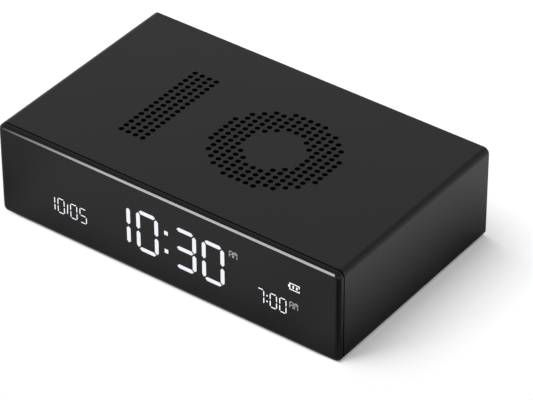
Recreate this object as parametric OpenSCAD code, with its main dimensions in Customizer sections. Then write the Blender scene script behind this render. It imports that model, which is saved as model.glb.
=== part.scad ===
// Digital alarm clock that is turned over to switch its alarm: an extruded sleeve with a
// pierced top, a dark front lens and a screwed rear cover, with its works on a sliding tray.
// Millimetres. The front faces -Y, the clock stands on z = 0 and is centred on the Z axis.

/* [Case] */
// Width of the clock
body_w = 105; // [98:0.5:130]
// Depth from the lens face to the end of the sleeve
body_d = 63.5; // [62:0.5:90]
// Height of the clock
body_h = 26.8; // [25:0.2:36]
// Wall of the sleeve
wall = 1.6; // [1.2:0.1:2.2]
// Radius of the sleeve's long edges
corner_r = 1.65; // [1.6:0.05:3]
// Chamfer at the ends of the sleeve
end_chamfer = 0.05; // [0.05:0.05:0.4]

/* [Front lens] */
// Thickness of the lens in front of the sleeve
lens_t = 1.6; // [1.4:0.05:2.5]
// Rounding of the lens's front edge
lens_edge_r = 1.4; // [0.6:0.1:1.6]
// Depth of the plug that centres the lens in the sleeve
lens_plug = 1.2; // [0.8:0.1:2]
// Shadow gap between the lens and the sleeve
lens_gap = 0.45; // [0.2:0.05:0.5]
// Thickness of the tape that bonds the lens
tape_t = 0.3; // [0.2:0.05:0.5]
// Width of the tape's border
tape_w = 2.4; // [1.5:0.1:2.6]

/* [Sound holes] */
// Diameter of a sound hole
hole_d = 1.5; // [0.8:0.05:1.6]
// Spacing of the holes across the clock
hole_pitch_x = 2.27; // [1.8:0.01:2.5]
// Spacing of the holes from front to back
hole_pitch_y = 2.01; // [1.8:0.01:2.3]
// Rows of holes in a switch mark
mark_rows = 16; // [12:1:18]
// Columns of holes in the ring mark
ring_cols = 15; // [12:1:17]
// Holes across the bar mark and across the band of the ring
stroke_holes = 4; // [2:1:4]
// Columns from the bar mark to the ring mark
mark_gap = 6; // [3:1:8]

/* [Sleeve inside] */
// Diameter of a screw port
port_d = 5; // [4.4:0.1:5.2]
// Distance of a screw port's axis from the outside of the sleeve
port_in = 4.5; // [4.3:0.1:5]
// Width of the slot along a screw port
port_slot = 0.9; // [0.6:0.1:1.2]
// Thickness of a rail rib
rail_t = 1.2; // [0.8:0.1:1.6]
// Reach of a rail rib from the wall
rail_reach = 1.6; // [1.2:0.1:2]

/* [Screws] */
// Shank diameter of the case screws
screw_d = 2; // [1.8:0.1:2.3]
// Head diameter of the case screws
screw_head_d = 3.6; // [3.2:0.1:4]
// Head height of the case screws
screw_head_t = 1.1; // [0.8:0.1:1.3]
// Length of a case screw under its head
screw_l = 7; // [5:0.5:9]
// Shank diameter of the small board screws
tack_d = 1.4; // [1.2:0.1:1.6]
// Head diameter of the small board screws
tack_head_d = 2.6; // [2.2:0.1:3]
// Head height of the small board screws
tack_head_t = 0.9; // [0.6:0.1:1.1]
// Length of a small board screw under its head
tack_l = 4; // [3:0.5:5]

/* [Display] */
// Thickness of the display frame's front plate
frame_t = 2; // [1.8:0.1:3]
// Width of the frame's end blocks
frame_block = 3; // [2.6:0.1:3.5]
// Wall of the frame above and below the glass
frame_wall = 1.2; // [0.8:0.1:1.5]
// Lip of the frame in front of the glass
frame_lip = 0.8; // [0.5:0.1:1.5]
// Thickness of the display glass
lcd_t = 1.8; // [1.4:0.1:2.4]
// Thickness of the light guide
guide_t = 2.2; // [1.8:0.1:3]
// Height of a contact strip
strip_h = 1.7; // [1.2:0.1:2]
// Number of lamps along each end of the light guide
lamps_per_end = 3; // [2:1:4]

/* [Circuit boards] */
// Thickness of the circuit boards
board_t = 1.2; // [1:0.1:1.6]
// Diameter of the posts that carry the main board
board_post_d = 4.2; // [3.6:0.1:5]
// Inset of the main board's screws from its edges
board_screw_in = 4; // [3.5:0.1:5]

/* [USB socket] */
// Width of the socket's shell
usb_w = 8.94; // [8.9:0.01:9]
// Height of the socket's shell
usb_h = 3.26; // [3.2:0.01:3.3]
// Length of the socket's shell
usb_l = 7.35; // [7:0.05:8]
// Wall of the socket's shell
usb_wall = 0.3; // [0.25:0.05:0.35]
// Depth of the socket's mouth behind the cover's face
usb_inset = 0.5; // [0.3:0.1:0.8]

/* [Tilt switch] */
// Diameter of the tilt switch's ball
ball_d = 4.4; // [3.6:0.1:4.8]
// Travel of the ball when the clock is turned over
ball_travel = 2.6; // [2:0.1:3]
// Clearance round the ball
ball_clear = 0.3; // [0.2:0.05:0.4]
// Wall of the tilt switch's can
can_wall = 0.5; // [0.4:0.05:0.7]

/* [Speaker] */
// Diameter of the speaker
speaker_d = 36; // [32:0.5:38]
// Height of the speaker from its rim to the back of its magnet
speaker_h = 9; // [8:0.1:10]
// Thickness of the foam gasket on the rim
gasket_t = 1.5; // [1.2:0.1:2]
// Width of the rim and of the gasket
rim_w = 3; // [2.5:0.1:3.5]
// Diameter of the magnet
magnet_d = 19; // [17:0.5:21]
// Thickness of the magnet
magnet_t = 4.4; // [4:0.1:5]
// Thickness of the dust screen under the holes
screen_t = 0.3; // [0.2:0.05:0.5]

/* [Battery] */
// Width of the battery
battery_w = 30; // [26:0.5:33]
// Length of the battery
battery_l = 36; // [30:0.5:38]
// Thickness of the battery
battery_t = 5.5; // [4.5:0.1:6.5]
// Thickness of the foam tape under the battery
pad_t = 0.5; // [0.3:0.1:0.8]

/* [Tray] */
// Thickness of the tray's floor and webs
tray_t = 1.5; // [1.2:0.1:1.8]
// Thickness of the battery bay's ribs
rib_t = 1.2; // [0.8:0.1:1.5]
// Height of the battery bay's ribs
rib_h = 3; // [2:0.1:4]
// Diameter of the speaker's posts
speaker_post_d = 5; // [4.4:0.1:5.4]

/* [Rear cover] */
// Thickness of the rear cover
cover_t = 2; // [1.8:0.1:2.5]
// Depth of the cover behind the end of the sleeve
rear_recess = 0.4; // [0.3:0.05:0.8]
// Rounding of the cover's outer edge
cover_edge_r = 0.4; // [0.2:0.05:0.5]

/* [Buttons] */
// Diameter of a button
button_d = 6; // [5:0.1:7]
// Spacing of the buttons
button_pitch = 11; // [10:0.1:12]
// Travel of a button
button_travel = 0.6; // [0.3:0.05:0.8]
// Height of a button above the cover
button_proud = 0.3; // [0.1:0.05:0.3]
// Width of the flange that keeps a button in
button_flange = 1; // [0.7:0.1:1.3]
// Side of a switch body
switch_w = 6; // [5.5:0.1:6.5]
// Height of a switch body
switch_h = 3.4; // [3.1:0.1:4]
// Diameter of a switch plunger
plunger_d = 3.2; // [2.8:0.1:3.4]
// Height of a plunger above its switch body
plunger_proud = 1; // [0.9:0.05:1.2]

/* [Leads] */
// Diameter of a lead
lead_d = 1.1; // [0.8:0.1:1.3]
// Thickness of the display ribbon
ribbon_t = 0.3; // [0.2:0.05:0.4]
// Width of the display ribbon
ribbon_w = 10; // [8:0.5:14]

/* [Fits] */
// Clearance between pieces that slide or drop into each other
fit = 0.3; // [0.2:0.05:0.35]
// Clearance on the diameter of a screw in its bore
bore_fit = 0.1; // [0.06:0.02:0.2]
// Clearance on the diameter of a screw in the piece that it holds
pass_fit = 0.4; // [0.3:0.05:0.5]

/* [Hidden] */
$fn = 48;

// Overshoot of a cut past the face that it opens, and sink of a post into its floor
over = 1;
sink = 0.5;
// Flat left beside a rounded edge, and the least radius inside a corner
edge_land = 0.1;
least_r = 0.4;

// Levels from front to back
lens_front = -body_d / 2;
lens_back = lens_front + lens_t;
plug_back = lens_back + lens_plug;
sleeve_front = lens_back + lens_gap;
frame_front = plug_back + tape_t;
frame_back = frame_front + frame_t;
glass_back = frame_back + lcd_t;
guide_back = glass_back + guide_t;
display_back = guide_back + board_t;
sleeve_rear = body_d / 2;
cover_rear = sleeve_rear - rear_recess;
cover_front = cover_rear - cover_t;

// Room inside the sleeve
inner_w = body_w - 2 * wall;
inner_h = body_h - 2 * wall;
inner_r = max(corner_r - wall, least_r);
ceiling_z = body_h - wall;
mid_z = body_h / 2;
end_w = inner_w - 2 * fit;
end_h = inner_h - 2 * fit;
end_r = cover_edge_r + edge_land;
port_x = body_w / 2 - port_in;
port_zs = [port_in, body_h - port_in];
bay_x = port_x - port_d / 2 - fit;

// Display stack
pocket_x = bay_x - frame_block;
glass_w = 2 * (pocket_x - fit);
glass_h = end_h - 2 * frame_wall - 2 * fit;
lamp_t = 1.2;
lamp_depth = 1.6;
lamp_h = 3;
guide_w = glass_w - 2 * (lamp_t + fit);
guide_h = glass_h - 2 * (strip_h + fit);
display_screw_x = bay_x - frame_block / 2;
display_screw_in = 3;
display_screw_z = end_h / 2 - display_screw_in;

// Switch marks pierced in the top: a bar and a ring, as the hole centres
mark_w = (stroke_holes - 1 + mark_gap + ring_cols - 1) * hole_pitch_x;
mark_l = (mark_rows - 1) * hole_pitch_y;
ring_x = mark_w / 2 - (ring_cols - 1) / 2 * hole_pitch_x;
function in_ellipse(x, y, a, b) = pow(x / a, 2) + pow(y / b, 2) <= 1;
function in_ring(x, y) = in_ellipse(x, y, ring_cols / 2, mark_rows / 2)
    && !in_ellipse(x, y, ring_cols / 2 - stroke_holes, mark_rows / 2 - stroke_holes);
bar_holes = [for (column = [0:stroke_holes - 1], row = [0:mark_rows - 1])
    [column * hole_pitch_x - mark_w / 2, row * hole_pitch_y - mark_l / 2]];
ring_holes = [for (column = [0:ring_cols - 1], row = [0:mark_rows - 1])
    let (x = column - (ring_cols - 1) / 2, y = row - (mark_rows - 1) / 2)
    if (in_ring(x, y)) [ring_x + x * hole_pitch_x, y * hole_pitch_y]];

// Tray in its rails
tray_bottom = wall + fit;
tray_top = tray_bottom + tray_t;
tray_front = display_back + tack_head_t + fit;
tray_rear = cover_front - fit;
flange_bottom = port_in + port_d / 2 + 2 * fit;
flange_top = flange_bottom + tray_t;

// Speaker under the ring, hung from the top down
speaker_r = speaker_d / 2;
cone_t = 0.3;
screen_bottom = ceiling_z - screen_t;
gasket_bottom = screen_bottom - gasket_t;
rim_top = gasket_bottom - cone_t;
ear_t = 1.2;
basket_t = 0.8;
magnet_top = rim_top - speaker_h + magnet_t;
coil_r = magnet_d / 4;
coil_t = 0.4;
coil_clear = 0.4;
coil_dip = 1.2;
roll_r = 1.2;
cap_rise = 1.2;
yoke_t = 1.2;
window_w = 6;
window_margin = 0.6;
ear_out = 1.5;
ear_x = max(speaker_r + ear_out, battery_w / 2 + 2 * fit + rib_t + speaker_post_d / 2);
ear_y = speaker_r * 2 / 3;
ear_spots = [for (x = [-1, 1], y = [-1, 1]) [ring_x + x * ear_x, y * ear_y]];
terminal_w = 6;
terminal_t = 1.4;
terminal_x = ring_x - speaker_r + fit;
screen_margin = 3.5;
screen_r = 3;

// Battery under the speaker, in a bay that starts at the front of the tray
battery_bottom = tray_top + pad_t;
battery_x = ring_x - battery_w / 2;
battery_y = tray_front + rib_t + fit + battery_l / 2;
pouch_r = 1.2;
terrace_l = 3;
terrace_t = 1.6;
terrace_in = 2;
terrace_z = battery_bottom + (battery_t - terrace_t) * 0.8;

// Main board beside the speaker
board_x0 = -(inner_w / 2 - rail_reach - fit);
board_x1 = ring_x - ear_x - speaker_post_d / 2 - 2 * fit;
board_y0 = tray_front + fit;
board_y1 = cover_front - 2 * fit;
board_top = mid_z - usb_h / 2;
board_bottom = board_top - board_t;
board_cx = (board_x0 + board_x1) / 2;
board_cy = (board_y0 + board_y1) / 2;
post_x0 = -(bay_x - tray_t) + board_post_d / 2 + fit;
board_spots = [for (x = [post_x0, board_x1 - board_screw_in],
    y = [board_y0 + board_screw_in, board_y1 - board_screw_in]) [x, y]];
usb_mouth = cover_rear - usb_inset;
usb_r = usb_h / 2 - usb_wall;
usb_back = 1;
tongue_w = 6.7;
tongue_t = 0.7;
tongue_r = 0.3;
tongue_inset = 0.8;
can_d = ball_d + 2 * (ball_clear + can_wall);
can_h = ball_d + ball_travel + 2 * ball_clear;
can_base = 0.8;
tilt_in = 8;
tilt_x = board_x0 + tilt_in;
tilt_y = board_cy - can_d / 2;
plug_l = 5.5;
plug_w = 6;
plug_h = 3.5;
plug_in = 1;
plug_pitch = 10;
plug_x = board_x1 - plug_in;
plug_z = board_top + plug_h / 2;
lead_gap = 2;
speaker_plug_y = 3.5;
battery_plug_y = speaker_plug_y - plug_pitch;
button_plug_y = board_y1 - board_screw_in - tack_head_d / 2 - lead_d - plug_w / 2;

// Chips as [x, y, width, length, height], in steps of the placement grid from the board's middle
chip_grid = 0.5;
chips = [
    [0, -7, 20, 20, 3], [12, 13, 10, 12, 3], [-2, 21, 8, 8, 2], [-18, 19, 10, 10, 6],
    [-4, -21, 6, 3, 2], [16, -17, 3, 2, 2], [16, -11, 3, 2, 2], [16, -5, 3, 2, 2], [-2, 10, 6, 3, 3]
];

// Display ribbon, from its socket on the display board to its socket on the main board
ribbon_x = board_cx - plug_in;
ribbon_bend = 2;
ribbon_tail = 0.6;
ribbon_run = 3.4;
socket_margin = 1.5;
socket_w = ribbon_w + 2 * socket_margin;
socket_l = 4.4;
socket_t = 2;
ribbon_y = display_back + socket_t / 2;
ribbon_z = board_top + socket_t / 2;
upper_socket_z = ribbon_z + ribbon_bend + ribbon_tail;
main_socket_y = ribbon_y + ribbon_bend + ribbon_run;

// Buttons in a row on the rear cover, each over a switch
button_count = 4;
boss_d = 5;
boss_step = 7;
flange_t = 0.8;
stem_l = 0.9;
plunger_depth = 1.4;
dish_r = 14;
dish_depth = 0.25;
cap_edge_r = 0.4;
board_end = 3;
switch_margin = 0.7;
button_board_w = (button_count - 1) * button_pitch + 2 * (boss_step + board_end);
button_board_h = switch_w + 2 * switch_margin;
row_x = board_x1 + 2 * fit + button_board_w / 2;
boss_x = (button_count - 1) / 2 * button_pitch + boss_step;
flange_face = cover_front - fit;
flange_back = flange_face - flange_t;
plunger_tip = flange_back - stem_l;
switch_face = plunger_tip - plunger_proud;
button_board_back = switch_face - switch_h;
button_board_front = button_board_back - board_t;
button_plug_x = row_x - boss_x + boss_d / 2;
function button_x(i) = row_x + (i - (button_count - 1) / 2) * button_pitch;

// Rectangle with round corners
module rounded(w, h, r) {
    square([w - 2 * r, h], center = true);
    square([w, h - 2 * r], center = true);
    for (x = [-1, 1], y = [-1, 1])
        translate([x * (w / 2 - r), y * (h / 2 - r)]) circle(r);
}

// Outline across the clock, about its middle height
module outline(w, h, r) {
    translate([0, mid_z]) rounded(w, h, r);
}

// Extrudes an outline in x and z from y0 back to y1
module along_y(y0, y1) {
    translate([0, y1, 0]) rotate([90, 0, 0]) linear_extrude(y1 - y0) children();
}

// Block with round corners whose edge follows the profile given as its child, from x = 0 to r
module edged_block(w, h, r, t) {
    linear_extrude(t) square([w - 2 * r, h - 2 * r], center = true);
    for (k = [0:3])
        let (reach = (k % 2 == 0 ? w : h) / 2 - r, run = (k % 2 == 0 ? h : w) - 2 * r)
            rotate(90 * k) {
                translate([reach, 0, 0]) rotate([90, 0, 0])
                    linear_extrude(run, center = true) children();
                translate([reach, run / 2, 0]) rotate_extrude(angle = 90) children();
            }
}

// Edge profile with its upper corner rounded
module rounded_edge(r, t, edge_r) {
    square([r, t - edge_r]);
    square([r - edge_r, t]);
    translate([r - edge_r, t - edge_r]) intersection() {
        circle(edge_r);
        square(edge_r);
    }
}

// Edge profile with both corners chamfered
module chamfered_edge(r, t, c) {
    polygon([[0, 0], [r - c, 0], [r, c], [r, t - c], [r - c, t], [0, t]]);
}

// Screw along Z with the underside of its cross-slotted head at z = 0
module screw(d, l, head_d, head_t) {
    translate([0, 0, -l]) cylinder(d = d, h = l);
    difference() {
        cylinder(d = head_d, h = head_t);
        for (a = [0, 90])
            rotate(a) translate([0, 0, head_t])
                cube([head_d * 0.6, head_d * 0.16, head_t], center = true);
    }
}

module case_screw() {
    screw(screw_d, screw_l, screw_head_d, screw_head_t);
}

module tack() {
    screw(tack_d, tack_l, tack_head_d, tack_head_t);
}

// Bore for a tack, down from z = 0 past the board that it holds
module tack_bore(held_t) {
    depth = tack_l - held_t + fit;
    translate([0, 0, -depth]) cylinder(d = tack_d + bore_fit, h = depth);
}

// Round lead swept along a cubic curve from a to b, leaving each end along the given vector
function curve(a, leave, b, arrive, t) =
    pow(1 - t, 3) * a + 3 * pow(1 - t, 2) * t * (a + leave)
    + 3 * (1 - t) * t * t * (b - arrive) + pow(t, 3) * b;
function unit(v) = v / norm(v);

module lead(a, leave, b, arrive) {
    steps = 12;
    sides = 8;
    points = [for (i = [0:steps]) curve(a, leave, b, arrive, i / steps)];
    ways = [for (i = [0:steps])
        i == 0 ? unit(leave) : i == steps ? unit(arrive) : unit(points[i + 1] - points[i - 1])];
    ring = [for (i = [0:steps], k = [0:sides - 1])
        let (side = unit(cross(ways[i], [0.1, 1, 0.1])), up = cross(side, ways[i]))
        points[i] + lead_d / 2 * (cos(360 * k / sides) * side + sin(360 * k / sides) * up)];
    walls = [for (i = [0:steps - 1], k = [0:sides - 1])
        let (a0 = i * sides + k, a1 = i * sides + (k + 1) % sides)
        each [[a0, a1, a0 + sides], [a1, a1 + sides, a0 + sides]]];
    caps = [[for (k = [sides - 1:-1:0]) k], [for (k = [0:sides - 1]) steps * sides + k]];
    polyhedron(ring, concat(walls, caps));
}

// Outline of the sleeve's screw ports and tray rails
module sleeve_features() {
    for (x = [0, 1]) mirror([x, 0]) {
        for (z = [0, 1]) translate([0, mid_z]) mirror([0, z]) translate([0, -mid_z])
            difference() {
                union() {
                    translate([port_x, port_in]) circle(d = port_d);
                    translate([port_x, wall / 2])
                        square([port_in - wall / 2, port_in - wall / 2]);
                }
                translate([port_x, port_in]) circle(d = screw_d + bore_fit);
                translate([port_x - port_d, port_in - port_slot / 2])
                    square([port_d, port_slot]);
            }
        for (z = [flange_bottom - fit - rail_t, flange_top + fit])
            translate([inner_w / 2 - rail_reach, z]) square([rail_reach + wall / 2, rail_t]);
    }
}

module sound_holes() {
    for (p = concat(bar_holes, ring_holes))
        translate([p.x, p.y, ceiling_z - over]) cylinder(d = hole_d, h = wall + 2 * over);
}

module case_sleeve() color("#2b2b2d") difference() {
    union() {
        difference() {
            translate([0, sleeve_rear, mid_z]) rotate([90, 0, 0])
                edged_block(body_w, body_h, corner_r, sleeve_rear - sleeve_front)
                    chamfered_edge(corner_r, sleeve_rear - sleeve_front, end_chamfer);
            along_y(sleeve_front - over, sleeve_rear + over) outline(inner_w, inner_h, inner_r);
        }
        along_y(frame_back, cover_front) sleeve_features();
    }
    sound_holes();
}

module front_lens() color("#0e0e10") {
    translate([0, lens_back, mid_z]) rotate([90, 0, 0])
        edged_block(body_w, body_h, corner_r, lens_t)
            rounded_edge(corner_r, lens_t, min(lens_edge_r, min(corner_r, lens_t) - edge_land));
    along_y(lens_back, plug_back) outline(end_w, end_h, end_r);
}

module lens_tape() color("#3a3a3a") along_y(plug_back, frame_front) difference() {
    outline(end_w, end_h, end_r);
    outline(end_w - 2 * tape_w, end_h - 2 * tape_w, end_r);
}

module display_frame() color("#202022") difference() {
    union() {
        along_y(frame_front, frame_back) outline(end_w, end_h, end_r);
        along_y(frame_back, guide_back) outline(2 * bay_x, end_h, end_r);
    }
    along_y(frame_front - over, frame_back + over)
        outline(glass_w - 2 * frame_lip, glass_h - 2 * frame_lip, end_r);
    along_y(frame_back, guide_back + over)
        outline(2 * pocket_x, end_h - 2 * frame_wall, end_r);
    for (x = [-1, 1], z = port_zs) translate([x * port_x, frame_front, z]) rotate([-90, 0, 0]) {
        translate([0, 0, -over]) cylinder(d = screw_head_d + pass_fit, h = screw_head_t + over);
        cylinder(d = screw_d + pass_fit, h = frame_t + over);
    }
    display_screw_places(guide_back) tack_bore(board_t);
}

module display_screw_places(y) {
    for (x = [-1, 1], z = [-1, 1])
        translate([x * display_screw_x, y, mid_z + z * display_screw_z]) rotate([-90, 0, 0])
            children();
}

module frame_screws() color("#8c8c90")
    for (x = [-1, 1], z = port_zs)
        translate([x * port_x, frame_front + screw_head_t, z]) rotate([90, 0, 0]) case_screw();

module lcd_glass() color("#11151a")
    along_y(frame_back, glass_back) outline(glass_w, glass_h, end_r);

module light_guide() color("#e9edf0")
    along_y(glass_back, guide_back) outline(guide_w, guide_h, end_r);

module guide_lamps() color("#f2e9b8")
    for (x = [-1, 1], i = [0:lamps_per_end - 1])
        translate([
            x * (glass_w - lamp_t) / 2,
            guide_back - lamp_depth / 2,
            mid_z + (i - (lamps_per_end - 1) / 2) * guide_h / lamps_per_end
        ]) cube([lamp_t, lamp_depth, lamp_h], center = true);

module contact_strips() color("#b9798a")
    for (z = [-1, 1]) translate([0, glass_back, mid_z + z * (glass_h - strip_h) / 2])
        translate([-guide_w / 2, 0, -strip_h / 2]) cube([guide_w, guide_t, strip_h]);

module display_board() color("#1f5a36") difference() {
    along_y(guide_back, display_back) outline(2 * bay_x, end_h, end_r);
    display_screw_places(guide_back - over)
        cylinder(d = tack_d + pass_fit, h = board_t + 2 * over);
}

module display_board_screws() color("#c9b36a") display_screw_places(display_back) tack();

// Battery bay, board posts and speaker posts stand on the trough's floor
module chassis_tray() color("#3b3b3f") difference() {
    union() {
        along_y(tray_front, tray_rear) tray_section();
        translate([ring_x, battery_y, tray_top - sink]) linear_extrude(rib_h + sink) battery_bay();
        for (p = board_spots) translate([p.x, p.y, tray_top - sink])
            cylinder(d = board_post_d, h = board_bottom - tray_top + sink);
        for (p = ear_spots) translate([p.x, p.y, tray_top - sink])
            cylinder(d = speaker_post_d, h = rim_top - ear_t - tray_top + sink);
    }
    for (p = board_spots) translate([p.x, p.y, board_bottom]) tack_bore(board_t);
    for (p = ear_spots) translate([p.x, p.y, rim_top - ear_t]) tack_bore(ear_t);
}

module tray_section() {
    translate([-bay_x, tray_bottom]) square([2 * bay_x, tray_t]);
    for (x = [0, 1]) mirror([x, 0]) {
        translate([bay_x - tray_t, tray_bottom]) square([tray_t, flange_top - tray_bottom]);
        translate([bay_x - tray_t, flange_bottom])
            square([inner_w / 2 - fit - bay_x + tray_t, tray_t]);
    }
}

module battery_bay() difference() {
    square([battery_w + 2 * (fit + rib_t), battery_l + 2 * (fit + rib_t)], center = true);
    square([battery_w + 2 * fit, battery_l + 2 * fit], center = true);
}

module main_board() color("#1f5a36") difference() {
    translate([board_x0, board_y0, board_bottom])
        cube([board_x1 - board_x0, board_y1 - board_y0, board_t]);
    for (p = board_spots) translate([p.x, p.y, board_bottom - over])
        cylinder(d = tack_d + pass_fit, h = board_t + 2 * over);
}

module main_board_screws() color("#c9b36a")
    for (p = board_spots) translate([p.x, p.y, board_top]) tack();

module board_chips() color("#17181a")
    for (c = chips * chip_grid)
        translate([board_cx + c[0] - c[2] / 2, board_cy + c[1] - c[3] / 2, board_top])
            cube([c[2], c[3], c[4]]);

// Plugs of the battery, speaker and button leads
module board_plugs() color("#e6e0cf") {
    for (y = [battery_plug_y, speaker_plug_y, button_plug_y])
        translate([plug_x - plug_l, y - plug_w / 2, board_top]) cube([plug_l, plug_w, plug_h]);
    translate([button_plug_x, button_board_front - plug_h, mid_z - plug_w / 2])
        cube([plug_l, plug_h, plug_w]);
}

module ribbon_sockets() color("#d9cfb0") {
    translate([ribbon_x - socket_w / 2, display_back, upper_socket_z])
        cube([socket_w, socket_t, socket_l]);
    translate([ribbon_x - socket_w / 2, main_socket_y, board_top])
        cube([socket_w, socket_l, socket_t]);
}

module display_ribbon() color("#c8742c")
    translate([ribbon_x - ribbon_w / 2, 0, 0]) rotate([90, 0, 90]) linear_extrude(ribbon_w) {
        translate([ribbon_y - ribbon_t / 2, ribbon_z + ribbon_bend])
            square([ribbon_t, upper_socket_z - ribbon_z - ribbon_bend]);
        translate([ribbon_y + ribbon_bend, ribbon_z + ribbon_bend]) difference() {
            intersection() {
                circle(ribbon_bend + ribbon_t / 2);
                translate([-2 * ribbon_bend, -2 * ribbon_bend]) square(2 * ribbon_bend);
            }
            circle(ribbon_bend - ribbon_t / 2);
        }
        translate([ribbon_y + ribbon_bend, ribbon_z - ribbon_t / 2])
            square([main_socket_y - ribbon_y - ribbon_bend, ribbon_t]);
    }

// USB socket on the main board, with its mouth in the rear cover
module usb_outline(grow) {
    translate([board_cx, 0]) outline(usb_w + 2 * grow, usb_h + 2 * grow, usb_r + grow);
}

module usb_shell() color("#b8b8bc") difference() {
    along_y(usb_mouth - usb_l, usb_mouth) usb_outline(0);
    along_y(usb_mouth - usb_l + usb_back, usb_mouth + over) usb_outline(-usb_wall);
}

module usb_tongue() color("#1a1a1c")
    along_y(usb_mouth - usb_l + usb_back, usb_mouth - tongue_inset)
        translate([board_cx, 0]) outline(tongue_w, tongue_t, tongue_r);

// Tilt switch: a ball that falls to the other end of its can when the clock is turned over
module tilt_switch_base() color("#caa85a") translate([tilt_x, tilt_y, board_top])
    cylinder(d = can_d, h = can_base);

module tilt_switch_can() color("#c9c9cc") translate([tilt_x, tilt_y, board_top + can_base])
    difference() {
        cylinder(d = can_d, h = can_h + can_wall);
        translate([0, 0, -over]) cylinder(d = can_d - 2 * can_wall, h = can_h + over);
    }

module tilt_ball() color("#e0e0e2")
    translate([tilt_x, tilt_y, board_top + can_base + ball_clear + ball_d / 2]) sphere(d = ball_d);

// Battery: a pouch with its sealed terrace towards the main board
module battery_cell() color("#9fa4a8") {
    translate([battery_x + terrace_l, battery_y - battery_l / 2, battery_bottom]) pouch();
    translate([battery_x, battery_y - battery_l / 2 + terrace_in, terrace_z])
        cube([terrace_l + sink, battery_l - 2 * terrace_in, terrace_t]);
}

module pouch() {
    w = battery_w - terrace_l;
    translate([w / 2, battery_l, battery_t / 2]) rotate([90, 0, 0])
        linear_extrude(battery_l) rounded(w, battery_t, pouch_r);
}

module battery_pad() color("#4d4d4d")
    translate([battery_x + terrace_l + pouch_r, battery_y - battery_l / 2 + terrace_in, tray_top])
        cube([battery_w - terrace_l - 2 * pouch_r, battery_l - 2 * terrace_in, pad_t]);

module battery_leads() color("#a3211f")
    for (y = [-1, 1] * lead_gap / 2) let (reach = [(battery_x - plug_x) / 2, 0, 0])
        lead([plug_x, battery_plug_y + y, plug_z], reach,
            [battery_x, battery_plug_y + y, terrace_z + terrace_t / 2], reach);

module dust_screen() color("#0a0a0a") translate([0, 0, screen_bottom])
    linear_extrude(screen_t) rounded(mark_w + 2 * screen_margin, mark_l + 2 * screen_margin, screen_r);

// Speaker, facing up under the ring of holes
module speaker_gasket() color("#2e2e30") translate([ring_x, 0, gasket_bottom])
    linear_extrude(gasket_t) difference() {
        circle(speaker_r);
        circle(speaker_r - rim_w);
    }

// Cone with its flat rim, rolled surround, dust cap and coil
module speaker_cone() color("#26282b") translate([ring_x, 0, rim_top]) {
    roll_x = speaker_r - rim_w - roll_r;
    neck_z = magnet_top - rim_top + basket_t + coil_dip;
    coil_bottom = magnet_top - rim_top - coil_dip;
    rotate_extrude() translate([speaker_r - rim_w - cone_t, 0]) square([rim_w + cone_t, cone_t]);
    rotate_extrude() translate([roll_x, 0]) intersection() {
        difference() {
            circle(roll_r);
            circle(roll_r - cone_t);
        }
        translate([-2 * roll_r, 0]) square([4 * roll_r, 2 * roll_r]);
    }
    rotate_extrude() polygon([[roll_x - roll_r, cone_t], [roll_x - roll_r + cone_t, cone_t],
        [coil_r + coil_t, neck_z - 2 * cone_t], [coil_r, neck_z - 2 * cone_t], [coil_r, neck_z]]);
    rotate_extrude() translate([coil_r, coil_bottom]) square([coil_t, neck_z - coil_bottom]);
    rotate_extrude() dust_cap(neck_z);
}

// Shallow dome that closes the cone's neck
module dust_cap(neck_z) {
    edge_r = coil_r + coil_t / 2;
    dome_r = (pow(edge_r, 2) + pow(cap_rise, 2)) / (2 * cap_rise);
    translate([0, neck_z + cap_rise - dome_r]) intersection() {
        difference() {
            circle(dome_r);
            circle(dome_r - cone_t);
        }
        translate([0, dome_r - cap_rise - cone_t]) square([edge_r, cap_rise + cone_t]);
    }
}

// Basket: a rim with four ears and a windowed cone down to the magnet
module speaker_basket() color("#7d7f83") translate([ring_x, 0, rim_top]) {
    depth = rim_top - magnet_top;
    neck_r = magnet_d / 2 - basket_t;
    bore_r = coil_r + coil_t + 2 * coil_clear;
    difference() {
        union() {
            rotate_extrude() polygon([[speaker_r - rim_w, 0], [speaker_r, 0], [speaker_r, -ear_t],
                [speaker_r - rim_w + basket_t, -ear_t], [neck_r + basket_t, basket_t - depth],
                [neck_r + basket_t, -depth], [bore_r, -depth], [bore_r, basket_t - depth],
                [neck_r, basket_t - depth],
                [speaker_r - rim_w, -ear_t]]);
            for (x = [-1, 1], y = [-1, 1]) speaker_ear(x, y);
        }
        for (a = [0:90:270]) rotate(a)
            translate([magnet_d / 2 + window_margin, -window_w / 2, basket_t - depth + window_margin])
                cube([speaker_r, window_w, depth - basket_t - ear_t - 2 * window_margin]);
    }
}

// Ear from the rim out to the middle of its post, with a hole for its screw
module speaker_ear(x, y) {
    inner_x = sqrt(pow(speaker_r - rim_w / 2, 2) - pow(ear_y, 2)) + rim_w / 3;
    translate([0, y * ear_y, -ear_t]) difference() {
        union() {
            translate([x * (ear_x + inner_x) / 2, 0, ear_t / 2])
                cube([ear_x - inner_x, speaker_post_d, ear_t], center = true);
            translate([x * ear_x, 0, 0]) cylinder(d = speaker_post_d, h = ear_t);
        }
        translate([x * ear_x, 0, -over]) cylinder(d = tack_d + pass_fit, h = ear_t + 2 * over);
    }
}

// Magnet and yoke with the round gap that the coil dips into
module speaker_magnet() color("#3f4145") translate([ring_x, 0, magnet_top - magnet_t])
    rotate_extrude() difference() {
        square([magnet_d / 2, magnet_t]);
        translate([coil_r - coil_clear, yoke_t]) square([coil_t + 2 * coil_clear, magnet_t]);
    }

module speaker_terminal() color("#7a5230")
    translate([terminal_x, -terminal_w / 2 + speaker_plug_y, rim_top - ear_t - terminal_t])
        cube([rim_w - basket_t - 2 * fit, terminal_w, terminal_t]);

module speaker_screws() color("#c9b36a")
    for (p = ear_spots) translate([p.x, p.y, rim_top]) tack();

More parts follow.
